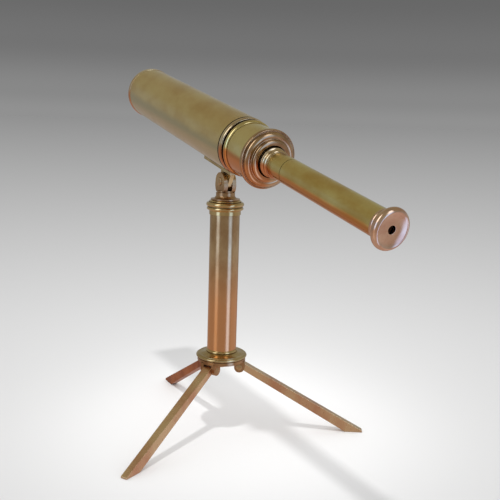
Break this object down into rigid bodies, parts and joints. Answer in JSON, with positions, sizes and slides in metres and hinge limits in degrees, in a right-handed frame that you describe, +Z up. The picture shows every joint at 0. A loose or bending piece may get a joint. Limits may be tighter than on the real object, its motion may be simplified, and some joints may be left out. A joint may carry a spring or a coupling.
{
  "type": "telescope",
  "caption": "Antique brass table telescope with a push-pull draw tube, held on a tilting and turning head, a plain pillar and folding legs.",
  "frame": {"origin": "where the pillar's axis meets the floor that the feet stand on", "axes": "+Z up, +Y the way the object glass looks, +X to the right of a person at the eyepiece"},
  "size_m": [0.2376, 0.4133, 0.3386],
  "materials": {
    "brass_tube": "drawn tube, polished and toned with age",
    "brass_turned": "turned on a lathe and polished",
    "brass_knuckle": "filed and polished, darker in the corners",
    "brass_leg": "bar, filed flat and polished, dull with age",
    "brass_hidden": "machined, unpolished",
    "brass_blackened": "chemically blackened, matt",
    "optical_glass": "polished lens"
  },
  "bodies": {
    "stand": {"leg_bracket_plate": "brass_turned", "base_disc": "brass_turned", "tie_washer": "brass_hidden", "tie_nut": "brass_hidden", "pillar_tube": "brass_tube", "pillar_foot_ring": "brass_turned", "pillar_foot_plug": "brass_hidden", "pillar_head": "brass_turned", "hinge_pin_front": "brass_knuckle", "hinge_pin_left": "brass_knuckle", "hinge_pin_right": "brass_knuckle"},
    "leg_front": {"leg_front": "brass_leg"},
    "leg_left": {"leg_left": "brass_leg"},
    "leg_right": {"leg_right": "brass_leg"},
    "swivel": {"swivel_fork": "brass_knuckle", "knuckle_washers": "brass_hidden", "tilt_screw": "brass_knuckle", "tilt_nut": "brass_knuckle", "swivel_washer": "brass_hidden", "swivel_nut": "brass_hidden"},
    "barrel": {"saddle": "brass_knuckle", "saddle_backing_strip": "brass_hidden", "saddle_screws": "brass_knuckle", "barrel_tube": "brass_tube", "objective_bezel": "brass_turned", "objective_cell": "brass_blackened", "flint_lens": "optical_glass", "crown_lens": "optical_glass", "glare_stop": "brass_blackened", "barrel_end_ring": "brass_turned", "tail_collar": "brass_turned", "tail_flange": "brass_turned", "draw_guide": "brass_turned"},
    "draw": {"draw_tube": "brass_tube", "draw_stop_ring": "brass_hidden", "erector_tube": "brass_blackened", "eyepiece_tube": "brass_blackened", "erector_lens_front": "optical_glass", "erector_lens_back": "optical_glass", "field_lens": "optical_glass", "eye_lens": "optical_glass", "erector_ring_front": "brass_blackened", "erector_ring_back": "brass_blackened", "field_lens_ring": "brass_blackened", "eye_lens_ring": "brass_blackened", "field_stop": "brass_blackened", "eyepiece_collar": "brass_turned", "eyecap": "brass_turned"}
  },
  "joints": [
    {"name": "pan", "type": "hinge", "parent": "stand", "child": "swivel", "pos_m": [0, 0, 0.2163], "axis": [0, 0, 1], "continuous": true},
    {"name": "tilt", "type": "hinge", "parent": "swivel", "child": "barrel", "pos_m": [0, 0, 0.2329], "axis": [1, 0, 0], "range_deg": [-40, 45]},
    {"name": "focus_draw", "type": "slide", "parent": "barrel", "child": "draw", "axis": [0, 0.975, 0.2224], "range_m": [-0.0075, 0.13]},
    {"name": "fold_front", "type": "hinge", "parent": "stand", "child": "leg_front", "pos_m": [0.00084, 0.01748, 0.0603], "axis": [-0.9988, 0.048, 0], "range_deg": [0, 61.5]},
    {"name": "fold_left", "type": "hinge", "parent": "stand", "child": "leg_left", "pos_m": [-0.01556, -0.00801, 0.0603], "axis": [0.4579, -0.889, 0], "range_deg": [0, 61.5]},
    {"name": "fold_right", "type": "hinge", "parent": "stand", "child": "leg_right", "pos_m": [0.01472, -0.00947, 0.0603], "axis": [0.541, 0.841, 0], "range_deg": [0, 61.5]}
  ]
}
